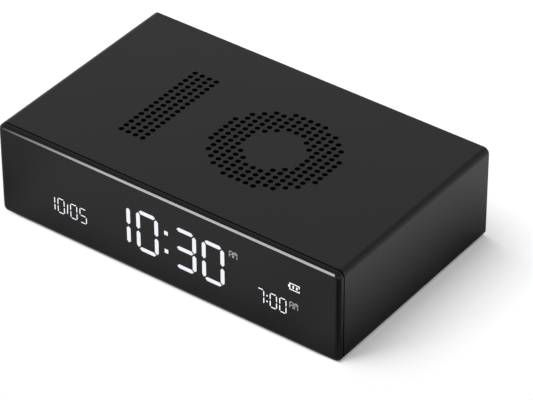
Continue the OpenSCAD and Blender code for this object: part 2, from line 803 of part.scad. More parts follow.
module speaker_leads() color("#b08a2e")
    for (y = [-1, 1] * lead_gap / 2) let (reach = [terminal_x - plug_x, 0, 0] / 2)
        lead([plug_x, speaker_plug_y + y, plug_z], reach,
            [terminal_x, speaker_plug_y + y, rim_top - ear_t - terminal_t / 2], reach);

// Rear cover with the openings for the buttons and the socket, and two bosses for the button board
module rear_cover() color("#29292b") difference() {
    union() {
        translate([0, cover_front, mid_z]) rotate([-90, 0, 0])
            edged_block(end_w, end_h, end_r, cover_t) rounded_edge(end_r, cover_t, cover_edge_r);
        boss_places(cover_front + sink)
            cylinder(d = boss_d, h = cover_front + sink - button_board_back);
    }
    for (x = [-1, 1], z = port_zs) translate([x * port_x, cover_front, z]) rotate([-90, 0, 0]) {
        translate([0, 0, -over]) cylinder(d = screw_d + pass_fit, h = cover_t + 2 * over);
        translate([0, 0, cover_t - screw_head_t])
            cylinder(d = screw_head_d + pass_fit, h = screw_head_t + over);
    }
    for (i = [0:button_count - 1]) translate([button_x(i), cover_front - over, mid_z]) rotate([-90, 0, 0])
        cylinder(d = button_d + 2 * fit, h = cover_t + 2 * over);
    along_y(cover_front - over, cover_rear + over) usb_outline(fit);
    boss_places(button_board_back) tack_bore(board_t);
}

// Places of the button board's screws, with Z towards the front
module boss_places(y) {
    for (x = [-1, 1]) translate([row_x + x * boss_x, y, mid_z]) rotate([90, 0, 0]) children();
}

module rear_screws() color("#8c8c90")
    for (x = [-1, 1], z = port_zs)
        translate([x * port_x, cover_rear - screw_head_t, z]) rotate([-90, 0, 0]) case_screw();

module button_board() color("#1f5a36") difference() {
    translate([row_x - button_board_w / 2, button_board_front, mid_z - button_board_h / 2])
        cube([button_board_w, board_t, button_board_h]);
    boss_places(button_board_back + over) cylinder(d = tack_d + pass_fit, h = board_t + 2 * over);
}

module button_board_screws() color("#c9b36a") boss_places(button_board_front) tack();

module switch_bodies() color("#1b1b1d")
    for (i = [0:button_count - 1]) translate([button_x(i), button_board_back, mid_z]) rotate([-90, 0, 0])
        difference() {
            translate([-switch_w / 2, -switch_w / 2, 0]) cube([switch_w, switch_w, switch_h]);
            translate([0, 0, switch_h - plunger_depth - button_travel - fit])
                cylinder(d = plunger_d + 2 * fit, h = switch_h);
        }

module button_leads() color("#3a6ea5")
    for (k = [-1, 1] * lead_gap / 2) let (reach = [button_plug_x - plug_x, 0, 0] / 2)
        lead([plug_x, button_plug_y + k, plug_z], reach,
            [button_plug_x, button_board_front - plug_h / 2, mid_z + k], reach);

// Button cap with a dished face, a flange behind the cover and a stem on its plunger
module button(i) color("#3a3a3d") translate([button_x(i), plunger_tip, mid_z]) rotate([-90, 0, 0])
    rotate_extrude() {
        face = cover_rear + button_proud - plunger_tip;
        square([plunger_d / 2, stem_l + flange_t]);
        translate([0, stem_l]) square([button_d / 2 + button_flange, flange_t]);
        translate([0, stem_l + flange_t]) difference() {
            rounded_edge(button_d / 2, face - stem_l - flange_t, cap_edge_r);
            translate([0, face - stem_l - flange_t + dish_r - dish_depth]) circle(dish_r);
        }
    }

module plunger(i) color("#d8d8d8")
    translate([button_x(i), switch_face - plunger_depth, mid_z]) rotate([-90, 0, 0])
        cylinder(d = plunger_d, h = plunger_depth + plunger_proud);

module mode_button() { button(0); }
module alarm_button() { button(1); }
module minus_button() { button(2); }
module plus_button() { button(3); }
module mode_plunger() { plunger(0); }
module alarm_plunger() { plunger(1); }
module minus_plunger() { plunger(2); }
module plus_plunger() { plunger(3); }

case_sleeve();
front_lens();
lens_tape();
display_frame();
frame_screws();
lcd_glass();
light_guide();
guide_lamps();
contact_strips();
display_board();
display_board_screws();
chassis_tray();
main_board();
main_board_screws();
board_chips();
board_plugs();
ribbon_sockets();
display_ribbon();
usb_shell();
usb_tongue();
tilt_switch_base();
tilt_switch_can();
tilt_ball();
battery_cell();
battery_pad();
battery_leads();
dust_screen();
speaker_gasket();
speaker_cone();
speaker_basket();
speaker_magnet();
speaker_terminal();
speaker_screws();
speaker_leads();
rear_cover();
rear_screws();
button_board();
button_board_screws();
switch_bodies();
button_leads();
mode_button();
mode_plunger();
alarm_button();
alarm_plunger();
minus_button();
minus_plunger();
plus_button();
plus_plunger();
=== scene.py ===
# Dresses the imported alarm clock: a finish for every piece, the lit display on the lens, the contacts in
# the USB socket, and a white stage with painted light and shade on its floor, soft light and the
# photograph's camera.
import math

import bmesh
import bpy
from mathutils import Matrix, Vector


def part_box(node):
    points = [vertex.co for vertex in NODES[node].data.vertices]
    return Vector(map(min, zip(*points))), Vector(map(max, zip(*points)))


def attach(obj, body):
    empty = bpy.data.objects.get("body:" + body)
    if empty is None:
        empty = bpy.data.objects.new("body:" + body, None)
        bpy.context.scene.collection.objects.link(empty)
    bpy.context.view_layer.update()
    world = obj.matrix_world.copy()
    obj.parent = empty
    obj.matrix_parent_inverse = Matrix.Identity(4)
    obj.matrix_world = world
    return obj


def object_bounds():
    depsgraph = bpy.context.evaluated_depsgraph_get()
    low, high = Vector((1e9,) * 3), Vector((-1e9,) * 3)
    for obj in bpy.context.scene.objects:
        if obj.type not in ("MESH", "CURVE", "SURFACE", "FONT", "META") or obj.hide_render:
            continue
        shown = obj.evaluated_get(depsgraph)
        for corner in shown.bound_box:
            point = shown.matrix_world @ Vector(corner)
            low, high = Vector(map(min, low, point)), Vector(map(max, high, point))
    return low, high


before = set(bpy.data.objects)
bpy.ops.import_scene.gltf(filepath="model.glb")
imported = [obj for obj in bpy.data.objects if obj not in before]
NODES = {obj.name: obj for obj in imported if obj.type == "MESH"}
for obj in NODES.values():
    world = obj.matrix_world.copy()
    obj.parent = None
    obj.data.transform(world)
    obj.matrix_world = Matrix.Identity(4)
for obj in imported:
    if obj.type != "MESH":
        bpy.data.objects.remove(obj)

MM = 0.001
CAD_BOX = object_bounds()
# Places closer than this, in millimetres, are one place
SAME_PLACE = 1e-3

# Camera, with lengths in millimetres
AZIMUTH = math.radians(36.7023)
ELEVATION = math.radians(36.58)
ROLL = math.radians(-0.3243)
AIM = Vector((6.686, 1.177, 9.287))
DISTANCE = 826.2
LENS = 222.998
SENSOR = 36
CLIP_START = 50

# Lit display, in millimetres: x from the middle of the lens, z from its foot
SEGMENT_PROUD = 0.01
SEGMENT_SUNK = 0.04
POINT_CUT = 0.48
BLOCK_SOFTENING = 0.006
LIT_SEGMENTS = {
    "0": "abcdef",
    "1": "bc",
    "3": "abcdg",
    "5": "acdfg",
    "7": "abc",
    "A": "abcefg",
    "M": "abcefh",
}
# Glyphs as pairs of the left of a cell and what it shows
DISPLAY_GROUPS = {
    "time_digits": {
        "size": (6.78, 12.36), "stroke": 1.15, "gap": 0.46, "foot": 7.38,
        "glyphs": [(-17.28, "1"), (-8.57, "0"), (3.09, "3"), (11.65, "0")],
    },
    "alarm_digits": {
        "size": (2.14, 4.42), "stroke": 0.27, "gap": 0.27, "foot": 8.14,
        "glyphs": [(28.24, "7"), (32.04, "0"), (34.87, "0")],
    },
    "date_digits": {
        "size": (2.23, 4.55), "stroke": 0.25, "gap": 0.27, "foot": 7.62,
        "glyphs": [(-36.8, "1"), (-33.77, "0"), (-29.7, "0"), (-26.7, "5")],
    },
    "time_half_mark": {
        "size": (1.2, 2.05), "stroke": 0.22, "gap": 0.08, "foot": 17.78,
        "glyphs": [(19.88, "A"), (21.18, "M")],
    },
    "alarm_half_mark": {
        "size": (1.2, 2.08), "stroke": 0.22, "gap": 0.08, "foot": 10.6,
        "glyphs": [(37.88, "A"), (39.24, "M")],
    },
}
# Lit blocks as left, foot, width and height
DATE_STROKE = (-30.79, 8.4, 0.25, 2.92)
BLOCK_GROUPS = {
    "time_colon": [(0.085, 15.7, 1.12, 1.2), (0.085, 10.18, 1.12, 1.2)],
    "alarm_colon": [(31.03, 10.98, 0.4, 0.4), (31.03, 9.23, 0.4, 0.4)],
    "charge_symbol": [
        (37.54, 16.93, 0.34, 0.72),
        (37.88, 16.26, 0.25, 2.06),
        (38.13, 18.06, 2.76, 0.26),
        (38.13, 16.26, 2.76, 0.26),
        (40.63, 17.5, 0.26, 0.56),
        (40.63, 16.52, 0.26, 0.28),
        (38.8, 16.86, 0.4, 0.86),
        (39.86, 16.86, 0.4, 0.86),
    ],
    "date_stroke": [DATE_STROKE],
}
DATE_LEAN = 0.14
LARGE_GROUPS = ("time_digits", "time_colon")
DIM_GROUPS = ("time_half_mark", "alarm_half_mark")
TIME_GLOW = 0.93
SMALL_GLOW = 1.2
DIM_GLOW = 0.45

# USB contacts, in millimetres
CONTACTS_PER_SIDE = 12
CONTACT_PITCH = 0.5
CONTACT_SIZE = (0.26, 3.2, 0.06)
CONTACT_PROUD = 0.025
CONTACT_SETBACK = 0.4
CONTACT_ROUNDING = 0.015

# Depth over which fingers smooth a button, in millimetres along Y
BUTTON_RUB = (31.2, 31.5)

# Light: places and sizes in metres, radiance where white is 1
SKY_LIGHT = 0.6
ZENITH_LIGHT = 0.57
ZENITH_RISE = (0.2, 0.75)
KEY_AT = (-0.525, -0.12, 1.2)
KEY_SIZE = (1.05, 1.0)
KEY_RADIANCE = 4.2
STRIP_AT = (-0.089, -0.1818, 0.0765)
STRIP_SIZE = (0.13, 0.158)
STRIP_TURN = (math.radians(90), math.radians(-6.5), 0)
STRIP_RADIANCE = 18.5
STRIP_FEATHER = (-0.163, 0.39)

# Floor, in metres: its size, how white it is, how dark its painted shade gets, and the distance over
# which it turns plain white
FLOOR_SIZE = 6
FLOOR_DROP = 0.00002
FLOOR_WHITE = 0.95
FLOOR_PAINTED_SHADE = 0.2
FLOOR_FADE = (0.13, 0.32)
FOOTPRINT = (0.0502, 0.0296)

# Edges of the ground painted white round the clock, which also bound its painted shade, as ramps along X
# or Y in metres
RIGHT_OF_CLOCK = (0.0517, 0.0531)
LEFT_OF_CLOCK = (-0.0525, -0.0465)
FRONT_EDGE = (-0.032, -0.0308)
FRONT_EDGE_LEFT = (-0.034, -0.022)
FRONT_EDGE_RIGHT = (-0.0322, -0.028)
CORNER_EASE = (0.045, 0.052)
CORNER_EASE_BY = 0.00045

# Painted light: a white wash that the camera sees on the ground over its real shade, held off the shade
# to the right, whose painted ends drift with x
PAINTED_WASH_IN_SHADE = 0.18
FOOT_EDGE = (-0.0014, -0.0002)
SHADE_X = 0.0535
SHADE_START = -0.033
SHADE_START_DRIFT = -0.6
SHADE_FULL = -0.026
SHADE_FULL_DRIFT = 1.9

# Painted shade on the ground, seen only where the clock mirrors it: shares of it, and ramps in metres
FOOT_DIM = 0.77
FOOT_SHADE = (-0.0025, 0.0255)
AHEAD = (-0.12, -0.07)
AHEAD_DIM = 0.63
AHEAD_FOOT_LIFT = 0.65
RIGHT_DIM = 0.1
RIGHT_DIM_RAMP = (0.01, 0.035)
RIGHT_LIFT = 0.12
RIGHT_LIFT_RAMP = (0.03, 0.045)
LEFT_LIFT = 0.22
LEFT_LIFT_RAMP = (-0.068, -0.048)
LEFT_FOOT_DIM = 0.27
LEFT_FOOT_RAMP = (-0.06, -0.046)
CORNER_RISE = (0.04, 0.065)
CORNER_FALL = (0.09, 0.13)
CORNER_DEPTH = (-0.06, -0.01)
SIDE_DIM = 0.5
SIDE_RISE = (0.06, 0.07)
SIDE_FALL = (0.1, 0.14)
SIDE_DEPTH = (-0.02, -0.002)
BEHIND_DIM = 0.2
BEHIND_RISE = (0.01, 0.06)
BEHIND_REACH = (0.025, 0.06)


def deselect_all():
    if bpy.context.mode != "OBJECT":
        bpy.ops.object.mode_set(mode="OBJECT")
    bpy.ops.object.select_all(action="DESELECT")


def add_block(name, low, high):
    """A block between two corners in millimetres, with its place in its mesh."""
    deselect_all()
    low, high = Vector(low) * MM, Vector(high) * MM
    bpy.ops.mesh.primitive_cube_add(size=1, location=(low + high) / 2, scale=high - low)
    bpy.ops.object.transform_apply(location=True, rotation=True, scale=True)
    block = bpy.context.object
    block.name = block.data.name = name
    return block


def opened(block, select_by):
    """The mesh of a block in edit mode, with nothing selected."""
    deselect_all()
    bpy.context.view_layer.objects.active = block
    block.select_set(True)
    bpy.ops.object.mode_set(mode="EDIT")
    bpy.ops.mesh.select_mode(type=select_by)
    bpy.ops.mesh.select_all(action="DESELECT")
    return bmesh.from_edit_mesh(block.data)


def bevel_where(block, offset, chosen, segments=1, along_y=False):
    """Bevels the edges of a block whose two ends pass a test on their place in millimetres."""
    mesh = opened(block, "EDGE")
    for edge in mesh.edges:
        first, last = (end.co / MM for end in edge.verts)
        lies_so = abs(first.y - last.y) > SAME_PLACE or not along_y
        edge.select_set(lies_so and chosen(first) and chosen(last))
    bmesh.update_edit_mesh(block.data)
    bpy.ops.mesh.bevel(offset=offset * MM, segments=segments, affect="EDGES")
    bpy.ops.object.mode_set(mode="OBJECT")


def shift_where(block, by, chosen):
    """Moves the points of a block that pass a test on their place, all in millimetres."""
    mesh = opened(block, "VERT")
    for point in mesh.verts:
        point.select_set(chosen(point.co / MM))
    bmesh.update_edit_mesh(block.data)
    bpy.ops.transform.translate(value=Vector(by) * MM)
    bpy.ops.object.mode_set(mode="OBJECT")


def copy_of(piece, place):
    """A copy with its own mesh, moved by a matrix. A mirrored copy gets its faces turned out again."""
    copy = piece.copy()
    copy.data = piece.data.copy()
    copy.data.transform(place)
    if place.determinant() < 0:
        copy.data.flip_normals()
    bpy.context.collection.objects.link(copy)
    return copy


def joined(pieces, name):
    """Several pieces as one object."""
    deselect_all()
    for piece in pieces:
        piece.select_set(True)
    bpy.context.view_layer.objects.active = pieces[0]
    if len(pieces) > 1:
        bpy.ops.object.join()
    pieces[0].name = pieces[0].data.name = name
    return pieces[0]


class Wire:
    """A shader node's output. Sums on it add Math nodes."""

    def __init__(self, shader, socket):
        self.shader = shader
        self.socket = socket

    def maths(self, operation, *terms, **settings):
        settings["operation"] = operation
        return self.shader.node("Math", settings, dict(enumerate(terms)))

    def __add__(self, other):
        return self.maths("ADD", self, other)

    def __sub__(self, other):
        return self.maths("SUBTRACT", self, other)

    def __rsub__(self, other):
        return self.maths("SUBTRACT", other, self)

    def __mul__(self, other):
        return self.maths("MULTIPLY", self, other)

    def __lt__(self, other):
        return self.maths("LESS_THAN", self, other)

    def __abs__(self):
        return self.maths("ABSOLUTE", self)

    __radd__ = __add__
    __rmul__ = __mul__

    def larger(self, other):
        return self.maths("MAXIMUM", self, other)

    def clamped(self):
        return self.maths("ADD", self, 0, use_clamp=True)

    def zigzag(self):
        """Rises from 0 to a half and falls again, over and over."""
        return self.maths("PINGPONG", self, 0.5)

    def over(self, low, high):
        """0 below low, 1 above high, and smooth between."""
        sockets = {"Value": self, "From Min": low, "From Max": high}
        return self.shader.node("MapRange", {"interpolation_type": "SMOOTHSTEP"}, sockets)

    def under(self, low, high):
        """1 below low, 0 above high, and smooth between."""
        return 1 - self.over(low, high)

    def between(self, rise, fall):
        """1 from the end of one ramp to the start of another, and 0 outside them."""
        return self.over(*rise) * self.under(*fall)


class Shader:
    """A node tree under construction."""

    def __init__(self, tree):
        self.tree = tree
        tree.nodes.clear()

    def node(self, kind, settings=None, sockets=None, out=0):
        """Adds a node, with its settings first and then the values or links of its sockets."""
        made = self.tree.nodes.new("ShaderNode" + kind)
        for name, value in (settings or {}).items():
            setattr(made, name, value)
        for name, value in (sockets or {}).items():
            if isinstance(value, Wire):
                self.tree.links.new(value.socket, made.inputs[name])
            else:
                made.inputs[name].default_value = value
        return Wire(self, made.outputs[out]) if made.outputs else made

    def place(self):
        """Place on the object in millimetres."""
        metres = self.node("TexCoord", out="Object")
        return self.node("VectorMath", {"operation": "SCALE"}, {0: metres, "Scale": 1 / MM})

    def axes(self, place):
        parted = self.node("SeparateXYZ", None, {0: place})
        return [Wire(self, socket) for socket in parted.socket.node.outputs]

    def stretched(self, place, *factors):
        return self.node("VectorMath", {"operation": "MULTIPLY"}, {0: place, 1: factors})

    def noise(self, place, scale, detail, roughness=0.5):
        sockets = {"Vector": place, "Scale": scale, "Detail": detail, "Roughness": roughness}
        return self.node("TexNoise", None, sockets)

    def cells(self, place, scale, feature="F1"):
        return self.node("TexVoronoi", {"feature": feature}, {"Vector": place, "Scale": scale})

    def mix(self, share, first, second):
        """Blend of two colours."""
        colours = [c if isinstance(c, Wire) else (*c, 1) for c in (first, second)]
        sockets = {0: share, 6: colours[0], 7: colours[1]}
        return self.node("Mix", {"data_type": "RGBA"}, sockets, out=2)

    def rays(self):
        """1 for camera rays, for glossy rays, and for those or rays through glass, each as a wire."""
        kinds = self.node("LightPath").socket.node.outputs
        camera = Wire(self, kinds["Is Camera Ray"])
        glossy = Wire(self, kinds["Is Glossy Ray"])
        through = Wire(self, kinds["Is Transmission Ray"])
        return camera, glossy, (camera + glossy + through).clamped()

    def blend(self, share, first, second):
        """Blend of two surfaces."""
        return self.node("MixShader", None, {0: share, 1: first, 2: second})


def finish(name, build):
    """A material from a function that returns Principled sockets, and relief as (height, depth in mm)."""
    material = bpy.data.materials.new(name)
    material.use_nodes = True
    shader = Shader(material.node_tree)
    sockets = build(shader, shader.place())
    if "relief" in sockets:
        height, depth = sockets.pop("relief")
        sockets["Normal"] = shader.node("Bump", None, {"Distance": depth * MM, "Height": height})
    surface = shader.node("BsdfPrincipled", None, sockets)
    shader.node("OutputMaterial", None, {"Surface": surface})
    return material


def shade(colour, factor):
    return tuple(min(1.0, channel * factor) for channel in colour)


def anodised_black(s, place):
    """Black anodised aluminium, blasted to a fine satin."""
    grain = s.noise(place, 5.5, 3)
    cloud = s.noise(place, 0.05, 2)
    return {
        "Base Color": s.mix(cloud.over(0.3, 0.7), (0.0026, 0.0026, 0.0028), (0.003, 0.003, 0.0032)),
        "Roughness": 0.27 + grain * 0.06 + cloud * 0.01,
        "IOR": 1.34,
        "relief": (grain, 0.0006),
    }


def smoked_lens(s, place):
    """Polished smoked plastic, with faint wipe marks."""
    wipe = s.noise(s.stretched(place, 0.05, 0.2, 0.35), 1.0, 5, 0.6)
    fine = s.noise(s.stretched(place, 0.3, 1, 3), 1.0, 3)
    return {
        "Base Color": s.mix(wipe.over(0.35, 0.65), (0.0014, 0.0014, 0.0016), (0.002, 0.002, 0.0023)),
        "Roughness": 0.05 + wipe.over(0.45, 0.75) * 0.03 + fine * 0.02,
        "IOR": 1.36,
    }


def moulded(colour, pit, depth, roughness):
    """Moulded plastic with a spark-eroded skin: pits per millimetre and their depth."""
    def build(s, place):
        skin = s.noise(place, pit, 4, 0.65)
        flow = s.noise(place, 0.12, 3)
        return {
            "Base Color": s.mix(flow.over(0.3, 0.7), shade(colour, 0.85), shade(colour, 1.15)),
            "Roughness": roughness + skin * 0.16 + flow * 0.06,
            "IOR": 1.42,
            "relief": (skin, depth),
        }
    return build


def plated(colour, roughness, lines=(6, 6, 6), stain=0.25):
    """Plated metal with drawn or tumbled marks: marks per millimetre along each axis."""
    def build(s, place):
        marks = s.noise(s.stretched(place, *lines), 1.0, 3, 0.6)
        cloud = s.noise(place, 0.5, 4)
        return {
            "Base Color": s.mix(cloud.over(0.35, 0.75) * stain, colour, shade(colour, 0.55)),
            "Roughness": roughness + marks * 0.16 + cloud * 0.08,
            "Metallic": 1.0,
            "relief": (marks, 0.003),
        }
    return build


def button_satin(s, place):
    """Satin button plastic, smoother where fingers press."""
    skin = s.noise(place, 4.5, 3)
    flow = s.noise(place, 0.25, 3)
    worn = s.axes(place)[1].over(*BUTTON_RUB) * flow.over(0.35, 0.7)
    return {
        "Base Color": s.mix(flow, (0.019, 0.019, 0.02), (0.026, 0.026, 0.0275)),
        "Roughness": 0.38 + skin * 0.1 - worn * 0.12,
        "IOR": 1.42,
        "relief": (skin, 0.003),
    }


def screen_cloth(s, place):
    """Woven dust cloth: crossing threads on a fine square grid."""
    x, y, _ = s.axes(place)
    thread = (x * 4).zigzag().larger((y * 4).zigzag()) * 2
    fluff = s.noise(place, 12, 3)
    return {
        "Base Color": s.mix(thread.over(0.4, 1.0), (0.0008, 0.0008, 0.0008), (0.004, 0.004, 0.0042)),
        "Roughness": 0.85 + fluff * 0.15,
        "IOR": 1.2,
        "relief": (thread + fluff * 0.3, 0.05),
    }


def board_mask(s, place):
    """Solder mask over copper tracks and vias."""
    x, y, _ = s.axes(place)
    lane = s.cells(s.stretched(place, 0.5, 0.5, 0.5), 1.0, "DISTANCE_TO_EDGE")
    track = lane.under(0.02, 0.08)
    via = s.cells(place, 0.32).under(0.12, 0.16)
    copper = (track + via).clamped()
    weave = (x * 2.2).zigzag() + (y * 2.2).zigzag()
    return {
        "Base Color": s.mix(copper, (0.006, 0.07, 0.025), (0.02, 0.13, 0.05)),
        "Roughness": 0.32 + weave * 0.1,
        "relief": (copper * 0.8 + weave * 0.15, 0.03),
    }


def chip_package(s, place):
    """Chip and switch bodies: moulded epoxy with a fine sparkle of filler."""
    filler = s.noise(place, 14, 2)
    return {
        "Base Color": s.mix(filler.over(0.6, 0.75), (0.009, 0.009, 0.01), (0.03, 0.03, 0.032)),
        "Roughness": 0.5 + filler * 0.2,
        "relief": (filler, 0.008),
    }


def ribbon_film(s, place):
    """Amber film with copper conductors along its length."""
    copper = s.axes(place)[0].zigzag().over(0.2, 0.28)
    haze = s.noise(place, 0.8, 3)
    return {
        "Base Color": s.mix(copper, (0.42, 0.13, 0.012), (0.62, 0.27, 0.06)),
        "Roughness": 0.22 + haze * 0.15,
        "relief": (copper, 0.02),
    }


def battery_foil(s, place):
    """Laminated battery foil with soft creases."""
    crease = s.noise(s.stretched(place, 0.25, 0.12, 0.25), 1.0, 5, 0.55)
    brushed = s.noise(s.stretched(place, 8, 0.15, 8), 1.0, 2)
    return {
        "Base Color": s.mix(brushed, (0.36, 0.37, 0.39), (0.5, 0.51, 0.53)),
        "Roughness": 0.3 + brushed * 0.15,
        "Metallic": 0.9,
        "relief": (crease, 0.35),
    }


def foamed(colour, size):
    """Cellular foam or foam tape: cells per millimetre."""
    def build(s, place):
        cell = s.cells(place, size)
        return {
            "Base Color": s.mix(cell.over(0.1, 0.7), shade(colour, 0.5), shade(colour, 1.4)),
            "Roughness": 0.8 + cell * 0.2,
            "relief": (cell, 0.08),
        }
    return build


def lead_jacket(colour):
    """Soft wire insulation, a little scuffed along its length."""
    def build(s, place):
        scuff = s.noise(s.stretched(place, 0.4, 2, 2), 1.0, 4)
        return {
            "Base Color": s.mix(scuff.over(0.4, 0.7), shade(colour, 0.8), shade(colour, 1.2)),
            "Roughness": 0.42 + scuff * 0.2,
            "relief": (scuff, 0.02),
        }
    return build


def layered_rubber(s, place):
    """Conductive rubber strip: dark conducting layers across pink insulation."""
    dark = (s.axes(place)[0] * 2).zigzag().over(0.22, 0.28)
    grain = s.noise(place, 5, 3)
    return {
        "Base Color": s.mix(dark, (0.5, 0.2, 0.27), (0.03, 0.025, 0.028)),
        "Roughness": 0.6 + grain * 0.25,
        "relief": (grain, 0.01),
    }


def speaker_paper(s, place):
    """Coated paper with pressed fibres."""
    fibre = s.noise(s.stretched(place, 1.6, 1.6, 4), 1.0, 5, 0.7)
    return {
        "Base Color": s.mix(fibre, (0.012, 0.012, 0.013), (0.035, 0.036, 0.038)),
        "Roughness": 0.62 + fibre * 0.25,
        "relief": (fibre, 0.05),
    }


def fibre_board(s, place):
    """Pressed fibre board."""
    fibre = s.noise(s.stretched(place, 1.2, 5, 5), 1.0, 4)
    return {
        "Base Color": s.mix(fibre, (0.14, 0.06, 0.02), (0.28, 0.13, 0.05)),
        "Roughness": 0.6 + fibre * 0.25,
        "relief": (fibre, 0.03),
    }


def display_glass(s, place):
    """Dark polarised glass with the faint lattice of its electrodes."""
    x, _, z = s.axes(place)
    lattice = (x * 0.5).zigzag().over(0.46, 0.49) + (z * 0.5).zigzag().over(0.46, 0.49)
    return {
        "Base Color": s.mix(lattice.clamped() * 0.5, (0.006, 0.007, 0.009), (0.02, 0.024, 0.03)),
        "Roughness": 0.05 + s.noise(place, 0.3, 3) * 0.06,
        "IOR": 1.5,
    }


def clear_guide(s, place):
    """Milky light guide with a dot pattern moulded in its back."""
    x, _, z = s.axes(place)
    dots = (x * 0.5).zigzag() * (z * 0.5).zigzag()
    return {
        "Base Color": s.mix(dots.over(0.12, 0.2), (0.74, 0.77, 0.8), (0.88, 0.9, 0.92)),
        "Roughness": 0.18 + dots * 0.4,
        "relief": (dots, 0.05),
    }


def lamp_phosphor(s, place):
    """Yellow phosphor in a white package."""
    grain = s.noise(place, 6, 3)
    return {
        "Base Color": s.mix(grain, (0.86, 0.76, 0.32), (0.92, 0.88, 0.62)),
        "Roughness": 0.35 + grain * 0.2,
        "relief": (grain, 0.01),
    }


def lit_segment(strength):
    """White light behind a thin mask, a little uneven, under the lens's polish."""
    def build(s, place):
        haze = s.noise(place, 0.35, 3)
        return {
            "Base Color": s.mix(haze, (0.02, 0.02, 0.022), (0.03, 0.03, 0.034)),
            "Roughness": 0.1 + haze * 0.06,
            "IOR": 1.33,
            "Emission Color": s.mix(haze.over(0.25, 0.75), (0.9, 0.92, 1.0), (0.97, 0.98, 1.0)),
            "Emission Strength": strength,
        }
    return build


def dress(finish_name, build, *pieces):
    """Gives a finish to CAD nodes by name, or to new pieces."""
    material = finish(finish_name, build)
    for piece in pieces:
        target = NODES[piece] if isinstance(piece, str) else piece
        target.data.materials.clear()
        target.data.materials.append(material)


def dress_case():
    buttons = ("mode", "alarm", "minus", "plus")
    black_moulding = moulded((0.013, 0.013, 0.0137), 2.2, 0.01, 0.42)
    plunger_white = moulded((0.62, 0.62, 0.61), 3.0, 0.006, 0.4)
    dress("anodised_black", anodised_black, "case_sleeve")
    dress("smoked_lens", smoked_lens, "front_lens")
    dress("cover_moulding", moulded((0.012, 0.012, 0.0128), 3.2, 0.012, 0.46), "rear_cover")
    dress("black_moulding", black_moulding, "display_frame", "usb_tongue")
    dress("grey_moulding", moulded((0.045, 0.045, 0.048), 1.8, 0.014, 0.45), "chassis_tray")
    dress("button_satin", button_satin, *(name + "_button" for name in buttons))
    dress("plunger_plastic", plunger_white, *(name + "_plunger" for name in buttons))


def dress_metal():
    board_screws = ("display_board_screws", "main_board_screws", "speaker_screws", "button_board_screws")
    drawn_nickel = plated((0.55, 0.55, 0.56), 0.22, (7, 0.4, 7))
    dress("black_zinc", plated((0.1, 0.1, 0.105), 0.3), "frame_screws", "rear_screws")
    dress("yellow_zinc", plated((0.6, 0.48, 0.24), 0.28), *board_screws)
    dress("drawn_nickel", drawn_nickel, "usb_shell", "tilt_switch_can", "tilt_ball")
    dress("turned_brass", plated((0.6, 0.42, 0.12), 0.25, (4, 4, 9)), "tilt_switch_base")
    dress("pressed_steel", plated((0.22, 0.22, 0.23), 0.42, (3, 3, 3), 0.5), "speaker_basket")
    dress("ferrite", plated((0.06, 0.06, 0.065), 0.5, (2.5, 2.5, 2.5), 0.6), "speaker_magnet")


def dress_works():
    dress("board_mask", board_mask, "display_board", "main_board", "button_board")
    dress("chip_package", chip_package, "board_chips", "switch_bodies")
    dress("natural_nylon", moulded((0.72, 0.66, 0.5), 1.5, 0.01, 0.4), "board_plugs", "ribbon_sockets")
    dress("ribbon_film", ribbon_film, "display_ribbon")
    dress("battery_foil", battery_foil, "battery_cell")
    dress("foam", foamed((0.03, 0.03, 0.032), 3.5), "battery_pad", "speaker_gasket")
    dress("bonding_tape", foamed((0.025, 0.025, 0.025), 6.0), "lens_tape")
    dress("red_lead", lead_jacket((0.42, 0.02, 0.018)), "battery_leads")
    dress("yellow_lead", lead_jacket((0.5, 0.3, 0.03)), "speaker_leads")
    dress("blue_lead", lead_jacket((0.04, 0.16, 0.4)), "button_leads")
    dress("screen_cloth", screen_cloth, "dust_screen")
    dress("speaker_paper", speaker_paper, "speaker_cone")
    dress("fibre_board", fibre_board, "speaker_terminal")
    dress("display_glass", display_glass, "lcd_glass")
    dress("clear_guide", clear_guide, "light_guide")
    dress("lamp_phosphor", lamp_phosphor, "guide_lamps")
    dress("layered_rubber", layered_rubber, "contact_strips")


def lens_face():
    """Y of the lens's front face in millimetres."""
    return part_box("front_lens")[0].y / MM


def segment_bar(length, stroke):
    """Bar along X in the lens's face, pointed at both ends."""
    half = Vector((length / 2, 0, stroke / 2))
    low = (-half.x, lens_face() - SEGMENT_PROUD, -half.z)
    high = (half.x, lens_face() + SEGMENT_SUNK, half.z)
    bar = add_block("segment_bar", low, high)
    bevel_where(bar, POINT_CUT * stroke, lambda p: abs(p.x) > half.x - SAME_PLACE, along_y=True)
    return bar


def seven_segments(size, stroke, gap):
    """Two bars, and the segments of one glyph about its middle as copies of them."""
    width, height = size
    slack = gap / math.sqrt(2)
    across = segment_bar(width - stroke - 2 * slack, stroke)
    upright = segment_bar((height - stroke) / 2 - 2 * slack, stroke)
    stand = Matrix.Rotation(math.pi / 2, 4, "Y")
    column = (width - stroke) / 2
    level = (height - stroke) / 2

    def lying(z):
        return across, Matrix.Translation(Vector((0, 0, z)) * MM)

    def standing(x, z):
        return upright, Matrix.Translation(Vector((x, 0, z)) * MM) @ stand

    return (across, upright), {
        "a": lying(level),
        "b": standing(column, level / 2),
        "c": standing(column, -level / 2),
        "d": lying(-level),
        "e": standing(-column, -level / 2),
        "f": standing(-column, level / 2),
        "g": lying(0),
        "h": standing(0, level / 2),
    }


def glyph_group(name, size, stroke, gap, foot, glyphs):
    """A row of glyphs, each placed by the left of its cell."""
    models, segments = seven_segments(size, stroke, gap)
    copies = []
    for left, glyph in glyphs:
        cell = Matrix.Translation(Vector((left + size[0] / 2, 0, foot + size[1] / 2)) * MM)
        for letter in LIT_SEGMENTS[glyph]:
            bar, place = segments[letter]
            copies.append(copy_of(bar, cell @ place))
    for model in models:
        bpy.data.objects.remove(model)
    return joined(copies, name)


